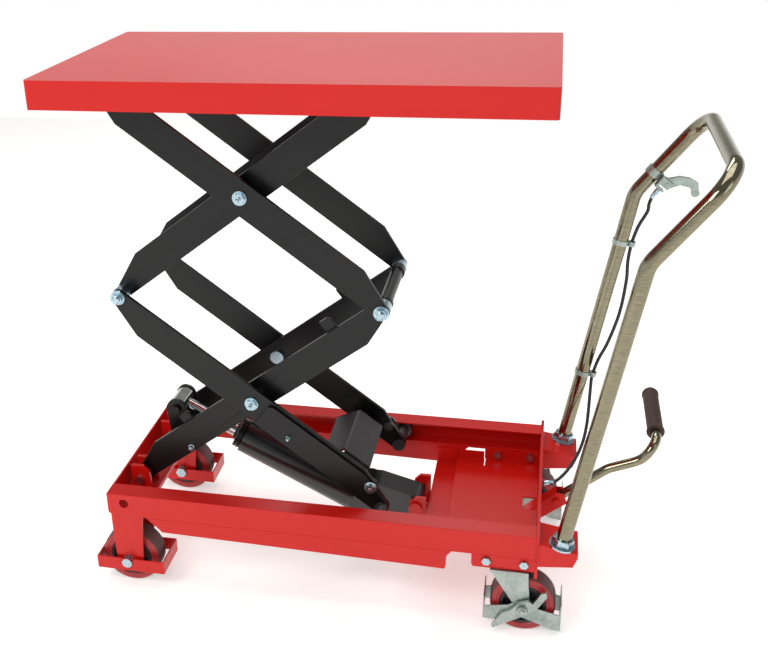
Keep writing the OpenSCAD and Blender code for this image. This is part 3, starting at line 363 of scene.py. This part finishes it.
FINISH = {
    "red_paint": red_powder_coat(),
    "black_paint": black_powder_coat(),
    "grey_paint": grey_enamel(),
    "chrome": shaded_chrome(),
    "zinc": zinc_plate(),
    "bright_bolts": bright_zinc(),
    "roller_steel": turned_steel(),
    "tyre_urethane": cast_urethane(),
    "hub_black": moulded_nylon(),
    "grip_rubber": grip_rubber(),
    "cable_sheath": cable_sheath(),
}
TREAD = scuffed_urethane()
OWN_FINISH = {"ram_rod": ground_chrome(), "ram_barrel": gloss_black_enamel()}


# ---------- finish on the CAD pieces ----------

def soften(piece, width_mm):
    """Rounds the sharp edges by a hair, as a deburred and coated edge is, and keeps flat faces flat."""
    weld = piece.modifiers.new("weld", "WELD")
    weld.merge_threshold = 0.00002
    bevel = piece.modifiers.new("edge", "BEVEL")
    bevel.limit_method = "ANGLE"
    bevel.angle_limit = math.radians(40)
    bevel.width = width_mm * MM
    bevel.segments = 2
    bevel.use_clamp_overlap = True
    normals = piece.modifiers.new("normals", "WEIGHTED_NORMAL")
    normals.keep_sharp = True


EDGE = {"red_paint": 0.8, "black_paint": 0.7, "grey_paint": 0.7, "zinc": 0.5, "bright_bolts": 0.5,
        "chrome": 0.0, "roller_steel": 0.6, "hub_black": 0.6, "tyre_urethane": 0.6,
        "grip_rubber": 0.0, "cable_sheath": 0.0}

for part in frame["record"]["subparts"]:
    piece = frame["nodes"][part["node"]]
    kind = part["material_slot"]
    piece.data.materials.clear()
    piece.data.materials.append(OWN_FINISH.get(part["node"], FINISH[kind]))
    if EDGE[kind]:
        soften(piece, EDGE[kind])


# ---------- shape kit ----------

def finish_piece(name, bm, body, kind, smooth=True):
    """Turns a bmesh into a piece that rides a body and takes a slot's finish."""
    bmesh.ops.remove_doubles(bm, verts=bm.verts, dist=0.000001)
    bmesh.ops.recalc_face_normals(bm, faces=bm.faces)
    mesh = bpy.data.meshes.new(name)
    bm.to_mesh(mesh)
    bm.free()
    piece = bpy.data.objects.new(name, mesh)
    bpy.context.scene.collection.objects.link(piece)
    mesh.materials.append(FINISH[kind])
    mesh.polygons.foreach_set("use_smooth", [smooth] * len(mesh.polygons))
    if smooth:
        mesh.set_sharp_from_angle(angle=math.radians(35))
    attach(piece, body)
    return piece


def turn(bm, profile, centre, axis, steps=72, material=None):
    """A solid turned from (radius, along) points in mm about an axis through centre."""
    along = Vector(axis).normalized()
    side = along.orthogonal().normalized()
    other = along.cross(side)
    rings = []
    for i in range(steps):
        angle = 2 * math.pi * i / steps
        out = side * math.cos(angle) + other * math.sin(angle)
        rings.append([bm.verts.new(centre + (out * r + along * h) * MM) for r, h in profile])
    count = len(profile)
    for i in range(steps):
        here = rings[i]
        there = rings[(i + 1) % steps]
        for j in range(count):
            k = (j + 1) % count
            face = bm.faces.new((here[j], here[k], there[k], there[j]))
            if material:
                face.material_index = material(profile[j], profile[k])


def sweep(bm, points, radius, sides=12):
    """A closed tube through the points. radius is in mm, or a function of the point's number."""
    width = radius if callable(radius) else lambda i: radius
    last = len(points) - 1
    rings = []
    side = None
    for i, point in enumerate(points):
        along = (points[min(last, i + 1)] - points[max(0, i - 1)]).normalized()
        if side is None:
            side = along.orthogonal().normalized()
        side = (side - along * side.dot(along)).normalized()
        other = along.cross(side)
        ring = []
        for j in range(sides):
            angle = 2 * math.pi * j / sides
            ring.append(bm.verts.new(point + (side * math.cos(angle) + other * math.sin(angle))
                                     * width(i) * MM))
        rings.append(ring)
    for i in range(last):
        for j in range(sides):
            k = (j + 1) % sides
            bm.faces.new((rings[i][j], rings[i][k], rings[i + 1][k], rings[i + 1][j]))
    bm.faces.new(list(reversed(rings[0])))
    bm.faces.new(rings[-1])


def spline(points, steps):
    """Catmull-Rom through the points, with the ends repeated."""
    last = len(points) - 1
    line = []
    for i in range(last):
        a, b = points[max(0, i - 1)], points[i]
        c, d = points[i + 1], points[min(last, i + 2)]
        for j in range(steps):
            t = j / steps
            line.append(0.5 * (2 * b + (c - a) * t + (2 * a - 5 * b + 4 * c - d) * t * t
                               + (3 * b - a - 3 * c + d) * t * t * t))
    line.append(points[last])
    return line


# ---------- tyres ----------

SHOULDER = 7
LIP = 1.2


def shoulder(radius, half, sign):
    """The rounded corner between the tread and the side of a tyre."""
    arc = []
    for i in range(7):
        angle = math.radians(90 * i / 6)
        arc.append((radius - SHOULDER + SHOULDER * math.cos(angle),
                    sign * (half - SHOULDER + SHOULDER * math.sin(angle))))
    return arc if sign > 0 else list(reversed(arc))


def tyre(node, hub_node, body):
    """A cast tyre with round shoulders, a lip at the hub and a scuffed tread."""
    lo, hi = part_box(node)
    centre = (Vector(lo) + Vector(hi)) / 2
    radius = (hi[2] - lo[2]) / MM / 2
    half = (hi[1] - lo[1]) / MM / 2
    hub_lo, hub_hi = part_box(hub_node)
    inner = (hub_hi[2] - hub_lo[2]) / MM / 2 + 0.2
    side = half - LIP
    profile = shoulder(radius, side, -1) + shoulder(radius, side, 1)
    profile += [(radius - 12, side), (radius - 13, half), (inner + 2, half), (inner, half - 2)]
    profile += [(inner, -half + 2), (inner + 2, -half), (radius - 13, -half), (radius - 12, -side)]
    bm = bmesh.new()
    turn(bm, profile, centre, (0, 1, 0), 120,
         lambda a, b: 1 if min(a[0], b[0]) > radius - SHOULDER * 0.5 else 0)
    piece = finish_piece(node + "_moulded", bm, body, "tyre_urethane")
    piece.data.materials.append(TREAD)
    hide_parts(node)


WHEELS = [("front_tyre_left", "front_hub_left", "front_wheel_l"),
          ("front_tyre_right", "front_hub_right", "front_wheel_r"),
          ("castor_tyre_left", "castor_hub_left", "castor_wheel_l"),
          ("castor_tyre_right", "castor_hub_right", "castor_wheel_r")]

for tyre_node, hub_node, wheel_body in WHEELS:
    tyre(tyre_node, hub_node, wheel_body)


def hub_ribs(node, body):
    """Ribs of a moulded hub, between the boss and the rim, on both faces."""
    lo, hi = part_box(node)
    centre = (Vector(lo) + Vector(hi)) / 2
    half = (hi[1] - lo[1]) / MM / 2
    rim = (hi[2] - lo[2]) / MM / 2 - 8
    bm = bmesh.new()
    for sign in (-1, 1):
        for i in range(8):
            angle = math.radians(45 * i + 22.5)
            out = Vector((math.cos(angle), 0, math.sin(angle)))
            across = Vector((-math.sin(angle), 0, math.cos(angle)))
            deep = Vector((0, sign, 0))
            corners = []
            for r, h in ((21, half - 9), (21, half - 3), (rim, half - 5), (rim, half - 9)):
                for w in (-1.5, 1.5):
                    corners.append(bm.verts.new(centre + (out * r + across * w + deep * h) * MM))
            order = ((0, 2, 4, 6), (1, 3, 5, 7), (0, 1, 3, 2), (2, 3, 5, 4), (4, 5, 7, 6), (6, 7, 1, 0))
            for face in order:
                bm.faces.new([corners[j] for j in face])
    finish_piece(node + "_ribs", bm, body, "hub_black", smooth=False)


for tyre_node, hub_node, wheel_body in WHEELS:
    hub_ribs(hub_node, wheel_body)


# ---------- release cable ----------

CABLE_R = 3.5
CLIPS = (0.3 * LEG, 0.82 * LEG)
HOLD = TUBE_R + 8
LEVER_D = UPPER - 38


def on_leg(d, q, y):
    """A point d along the far leg from its socket and q behind it."""
    return at(LEG_X + d * math.sin(TILT) + q * math.cos(TILT), y,
              LEG_Z + d * math.cos(TILT) - q * math.sin(TILT))


def on_upper(d, q, y):
    """The same on the upper part of the far leg, from the knee."""
    return at(KNEE[0] + d * math.sin(BAR_TILT) + q * math.cos(BAR_TILT), y,
              KNEE[1] + d * math.cos(BAR_TILT) - q * math.sin(BAR_TILT))


CABLE = [
    on_upper(LEVER_D - 127.5, 11 + TUBE_R, LEG_Y - 18),
    on_upper(LEVER_D - 145, 12 + TUBE_R, LEG_Y - 17),
    on_upper(2, 20 + TUBE_R, LEG_Y - 9),
    on_leg(LEG - 32, 19 + TUBE_R, LEG_Y - 4),
    on_leg(CLIPS[1] + 40, HOLD + 3, LEG_Y),
    on_leg(CLIPS[1] + 10, HOLD, LEG_Y),
    on_leg(CLIPS[1] - 10, HOLD, LEG_Y),
    on_leg(CLIPS[1] - 40, HOLD + 3, LEG_Y),
    on_leg(0.68 * LEG, 19 + TUBE_R, LEG_Y - 2),
    on_leg(0.56 * LEG, 24 + TUBE_R, LEG_Y - 4),
    on_leg(0.44 * LEG, 19 + TUBE_R, LEG_Y - 2),
    on_leg(CLIPS[0] + 40, HOLD + 3, LEG_Y),
    on_leg(CLIPS[0] + 10, HOLD, LEG_Y),
    on_leg(CLIPS[0] - 10, HOLD, LEG_Y),
    on_leg(CLIPS[0] - 38, HOLD + 4, LEG_Y - 6),
    at(SOCKET_X + 88, LEG_Y - 60, LEG_Z + 74),
    at(SOCKET_X + 76, LEG_Y - 105, LEG_Z + 40),
    at(SOCKET_X + 52, LEG_Y - 150, LEG_Z + 14),
    at(SOCKET_X + 26, 18, RAIL_Z + 31),
    at(SOCKET_X + 3, 10, RAIL_Z + 30)]

bm = bmesh.new()
sweep(bm, spline(CABLE, 12), CABLE_R, 16)
cable = finish_piece("release_cable_sheath", bm, "frame", "cable_sheath")
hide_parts("release_cable")

# ferrules crimped on the two ends of the sheath
for number, (first, second) in enumerate(((CABLE[0], CABLE[1]), (CABLE[-1], CABLE[-2]))):
    way = (second - first).normalized()
    bm = bmesh.new()
    turn(bm, [(3.6, 1), (5, 1), (5.4, 2), (5.4, 12), (4.6, 13), (4.6, 20), (3.9, 22), (3.6, 22)],
         first, way, 32)
    finish_piece(f"cable_ferrule_{number}", bm, "frame", "bright_bolts")


# ---------- pedal grip ----------

RIB_PITCH = 5.6


def pedal_grip():
    """A ribbed sleeve with a stop at each end and a domed, closed outer end."""
    lo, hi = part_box("pedal_grip")
    centre = (Vector(lo) + Vector(hi)) / 2
    half = (hi[1] - lo[1]) / MM / 2
    bore = 10.1
    outer = [(16.5, -half), (18, -half + 1.5), (18, -half + 4.5), (16.6, -half + 6)]
    h = -half + 8
    while h < half - 22:
        outer += [(15.0, h), (16.2, h + 0.9), (16.2, h + 3.4), (15.0, h + 4.3)]
        h += RIB_PITCH
    outer += [(15.4, half - 14), (17.4, half - 12.5), (17.4, half - 6), (16.2, half - 3), (13, half - 0.6),
              (6, half), (0, half)]
    inner = [(0, half - 13), (bore, half - 13), (bore, -half)]
    bm = bmesh.new()
    turn(bm, outer + inner, centre, (0, 1, 0), 64)
    piece = finish_piece("pedal_grip_ribbed", bm, "pedal", "grip_rubber")
    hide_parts("pedal_grip")


pedal_grip()


# ---------- weld beads ----------

RIPPLE = 3.2  # spacing of the ripples along a bead
HEAVY = 2.6  # size of a bead on thick plate, and of two lighter ones
MEDIUM = 2.2
LIGHT = 2.0


def bead(bm, path, size=HEAVY):
    """A rippled fillet laid along the path."""
    line = []
    for a, b in zip(path, path[1:]):
        steps = max(2, int((b - a).length / MM / 0.8))
        line += [a.lerp(b, i / steps) for i in range(steps)]
    line.append(path[-1])
    last = len(line) - 1

    def width(i):
        end = min(1.0, 0.35 + min(i, last - i) * 0.25)
        return size * end * (0.86 + 0.14 * abs(math.sin(math.pi * i * 0.8 / RIPPLE)))

    sweep(bm, line, width, 10)


def ring_path(x, y, z, r, steps=40):
    """A closed run of weld round a bar that lies across the table."""
    turns = [2 * math.pi * i / steps for i in range(steps)]
    return [at(x + r * math.cos(a), y, z + r * math.sin(a)) for a in turns + [0.12]]


SOCKET_W = 78
FORK_X = (52, 113)
CLEVIS_X = (PIVOT_X - 16, PIVOT_X + 24)

bm = bmesh.new()
for s in (-1, 1):
    y0 = s * (RAIL_OUT - SOCKET_W)
    y1 = s * RAIL_OUT
    corner = s * (RAIL_OUT - 0.5)
    for y in (y0, y1):
        bead(bm, [at(SOCKET_X, y, RAIL_Z - 12), at(SOCKET_X, y, RAIL_Z + 33)])
    bead(bm, [at(SOCKET_X, y0, RAIL_Z + 36), at(SOCKET_X, y1, RAIL_Z + 36)])
    bead(bm, [at(BASE_END, corner, RAIL_Z - 20), at(BASE_END, corner, RAIL_TOP)], LIGHT)
    for y in (s * (RAIL_OUT - 1), s * (RAIL_OUT - 73)):
        bead(bm, [at(x, y, RAIL_Z) for x in FORK_X], MEDIUM)
    for y in (s * 73, s * 119):
        bead(bm, [at(x, y, RAIL_Z + 4) for x in CLEVIS_X], MEDIUM)
    bead(bm, [at(47.5, s * 178, RAIL_Z + 8), at(47.5, s * 178, RAIL_TOP - 5)], LIGHT)
finish_piece("frame_welds", bm, "frame", "red_paint")

bm = bmesh.new()
LUG_U = 100.5
LUG_N = 16
lug_x = PIVOT_X + LUG_U * math.cos(PLATE_ANGLE) - LUG_N * math.sin(PLATE_ANGLE)
lug_z = PIVOT_Z + LUG_U * math.sin(PLATE_ANGLE) + LUG_N * math.cos(PLATE_ANGLE)
for s in (-1, 1):
    for y in (30, 38, 89):
        bead(bm, ring_path(lug_x, s * y, lug_z, 15.3), 2.4)
finish_piece("ram_bar_welds", bm, "lower_inner", "black_paint")

for body, x in (("lower_inner", PIVOT_X + RUN), ("upper_inner", PIVOT_X)):
    bm = bmesh.new()
    for s in (-1, 1):
        bead(bm, ring_path(x, s * 77, JOINT_Z, 13.2), MEDIUM)
    finish_piece(f"joint_shaft_welds_{body}", bm, body, "black_paint")


# ---------- ram details ----------

ram_way = Vector((math.cos(RAM_SLOPE), 0, -math.sin(RAM_SLOPE)))
ram_start = at(RAM_TOP[0], 0, RAM_TOP[1])

gland = ram_start + ram_way * GLAND * MM

# black nitrile wiper where the rod leaves the barrel
bm = bmesh.new()
turn(bm, [(15.3, -6), (16.4, -6.6), (19.5, -4), (21, -0.4), (15.3, -0.4)], gland, ram_way, 64)
finish_piece("rod_wiper", bm, "barrel", "hub_black")

# gland collar with its two grooves
bm = bmesh.new()
turn(bm, [(31.9, 1), (33.6, 2), (33.6, 5), (32.6, 6), (32.6, 8), (33.6, 9), (33.6, 12),
          (32.6, 13), (31.9, 15.5)], gland, ram_way, 72)
finish_piece("gland_collar", bm, "barrel", "black_paint")

# bleed screw with its hexagon boss on top of the barrel
ram_up = Vector((math.sin(RAM_SLOPE), 0, math.cos(RAM_SLOPE)))
boss = gland + ram_way * 44 * MM
bm = bmesh.new()
turn(bm, [(0, 36), (9, 36), (9, 42), (8, 43.2), (0, 43.2)], boss, ram_up, 6)
turn(bm, [(0, 43), (5, 43), (5, 47), (3.2, 48.4), (0, 48.4)], boss, ram_up, 24)
finish_piece("bleed_screw", bm, "barrel", "bright_bolts")


# ---------- fasteners ----------

PLATE_HALF = math.sqrt((ARM / 2) ** 2 - 16 ** 2)


def on_left_arm(u, n, cz):
    """A drawn (x, z) point given along and across an arm that rises to the left, from its lower pivot."""
    x = u - PLATE_HALF
    z = n - 16
    return (MID_X - x * math.cos(PLATE_ANGLE) + z * math.sin(PLATE_ANGLE),
            cz + x * math.sin(PLATE_ANGLE) + z * math.cos(PLATE_ANGLE))


def bolt_head(name, x, z, y, s, size, body):
    """A washer, a chamfered hexagon and the dome of the bolt's end, standing on a plate at y."""
    bm = bmesh.new()
    place = at(x, 0, z)
    turn(bm, [(0, y), (size * 1.22, y), (size * 1.22, y + 1.6), (size * 1.1, y + 2), (0, y + 2)],
         place, (0, s, 0), 36)
    turn(bm, [(0, y + 2), (size, y + 2), (size, y + 7.2), (size * 0.88, y + 8.2), (0, y + 8.2)],
         place, (0, s, 0), 6)
    turn(bm, [(0, y + 8), (size * 0.5, y + 8), (size * 0.46, y + 9.4), (0, y + 10)], place, (0, s, 0), 24)
    finish_piece(name, bm, body, "bright_bolts")


CENTRE_LOW = PIVOT_Z + RISE / 2
STUD = (418, 349)
STOP_BOLT = (195, 283)
for s in (-1, 1):
    side = "l" if s < 0 else "r"
    x, z = on_left_arm(46, 25, CENTRE_LOW)
    bolt_head(f"cross_plate_bolt_{side}", x, z, OUTER_FACE + 0.2, s, 10.4, "lower_outer")
    bolt_head(f"arm_stud_{side}", *STUD, OUTER_FACE + 0.2, s, 3.6, "lower_outer")
    bolt_head(f"stop_bar_bolt_{side}", *STOP_BOLT, INNER_FACE + 0.2, s, 5.5, "lower_inner")

# grease nipples in the centre pins
NIPPLE = [(0, -0.5), (4.5, -0.5), (4.5, 2.5), (2.6, 3.2), (2.6, 5), (3.4, 6.4), (2.4, 8.4), (0, 8.8)]

for level, body in ((CENTRE_LOW, "lower_inner"), (JOINT_Z + RISE / 2, "upper_inner")):
    for s in (-1, 1):
        bm = bmesh.new()
        turn(bm, NIPPLE, at(MID_X, s * CENTRE_NUT, level), (0, s, 0), 24)
        finish_piece(f"grease_nipple_{body}_{'l' if s < 0 else 'r'}", bm, body, "bright_bolts")

# threaded ends of the joint bolts, standing out of their nuts
thread = [(0, -1)]
for i in range(-1, 5):
    thread += [(6.6, i), (7.4, i + 0.5)]
thread += [(6.0, 5.8), (0, 5.8)]

for x, body in ((PIVOT_X + RUN, "lower_inner"), (PIVOT_X, "upper_inner")):
    for s in (-1, 1):
        bm = bmesh.new()
        turn(bm, thread, at(x, s * JOINT_NUT, JOINT_Z), (0, s, 0), 32)
        finish_piece(f"bolt_thread_{body}_{'l' if s < 0 else 'r'}", bm, body, "bright_bolts")


# ---------- stage, light and camera ----------

def pale_floor():
    """Matt white board, lit a little from within so that it stays pale away from the lamps."""
    code = "#F6F6F4"
    sockets = {"Base Color": linear(code), "Roughness": 0.7, "Emission Color": linear(code),
               "Emission Strength": 0.5}
    return start("pale_floor", sockets)[0]


def board(name, corners, material):
    """A flat piece of the studio."""
    mesh = bpy.data.meshes.new(name)
    mesh.from_pydata([tuple(c) for c in corners], [], [tuple(range(len(corners)))])
    mesh.materials.append(material)
    piece = bpy.data.objects.new(name, mesh)
    bpy.context.scene.collection.objects.link(piece)
    return piece


FLOOR_HALF = 3.8
board("floor", [(-FLOOR_HALF, -FLOOR_HALF, 0), (FLOOR_HALF, -FLOOR_HALF, 0), (FLOOR_HALF, FLOOR_HALF, 0),
                (-FLOOR_HALF, FLOOR_HALF, 0)], pale_floor())

world = bpy.data.worlds.new("studio")
world.use_nodes = True
bpy.context.scene.world = world
# white walls up to eye level, and a dim ceiling that the top faces and the chrome reflect
sky = world.node_tree
ray = add(sky, "ShaderNodeTexCoord", {}, {})
height = add(sky, "ShaderNodeSeparateXYZ", {}, {"Vector": (ray, "Generated")})
room = add(sky, "ShaderNodeValToRGB", {}, {"Fac": (height, "Z")})
WALLS, CEILING = room.color_ramp.elements
WALLS.position = 0.08
WALLS.color = (1.0, 1.0, 1.0, 1.0)
CEILING.position = 0.34
CEILING.color = (0.27, 0.26, 0.25, 1.0)
feed(sky, sky.nodes["Background"], {"Color": (room, "Color"), "Strength": 1.0})


def softbox(name, place, target, size, power):
    """A rectangular lamp that faces its target."""
    lamp = bpy.data.lights.new(name, "AREA")
    lamp.shape = "RECTANGLE"
    lamp.size = size[0]
    lamp.size_y = size[1]
    lamp.energy = power
    box = bpy.data.objects.new(name, lamp)
    box.location = place
    box.rotation_euler = (Vector(target) - Vector(place)).to_track_quat("-Z", "Y").to_euler()
    bpy.context.scene.collection.objects.link(box)


softbox("key", (-1.6, -2.4, 2.8), (0, 0, 0.5), (1.6, 1.6), 52)
softbox("fill", (2.4, -1.6, 1.6), (0, 0, 0.4), (1.2, 1.2), 6)
softbox("back", (-0.4, 2.6, 3.2), (0, 0, 0.7), (1.6, 1.0), 30)
softbox("overhead", (0.2, 0.6, 5.2), (0.2, 0.6, 0), (4.0, 4.0), 120)

YAW = -0.244
PITCH = 0.425
ROLL = -0.039
forward = Vector((math.sin(YAW) * math.cos(PITCH), math.cos(YAW) * math.cos(PITCH), -math.sin(PITCH)))
level = Vector((math.cos(YAW), -math.sin(YAW), 0))
upright = level.cross(forward)
right = level * math.cos(ROLL) + upright * math.sin(ROLL)
up = upright * math.cos(ROLL) - level * math.sin(ROLL)

lens = bpy.data.cameras.new("camera")
lens.sensor_width = 36
lens.lens = 50.0
lens.shift_x = 0.1167
lens.shift_y = -0.0042
camera = bpy.data.objects.new("camera", lens)
axes = Matrix((right, up, -forward)).transposed()
camera.matrix_world = Matrix.Translation((0.28815, -1.9477, 1.4548)) @ axes.to_4x4()
bpy.context.scene.collection.objects.link(camera)
bpy.context.scene.camera = camera
bpy.context.scene.view_settings.view_transform = "Standard"
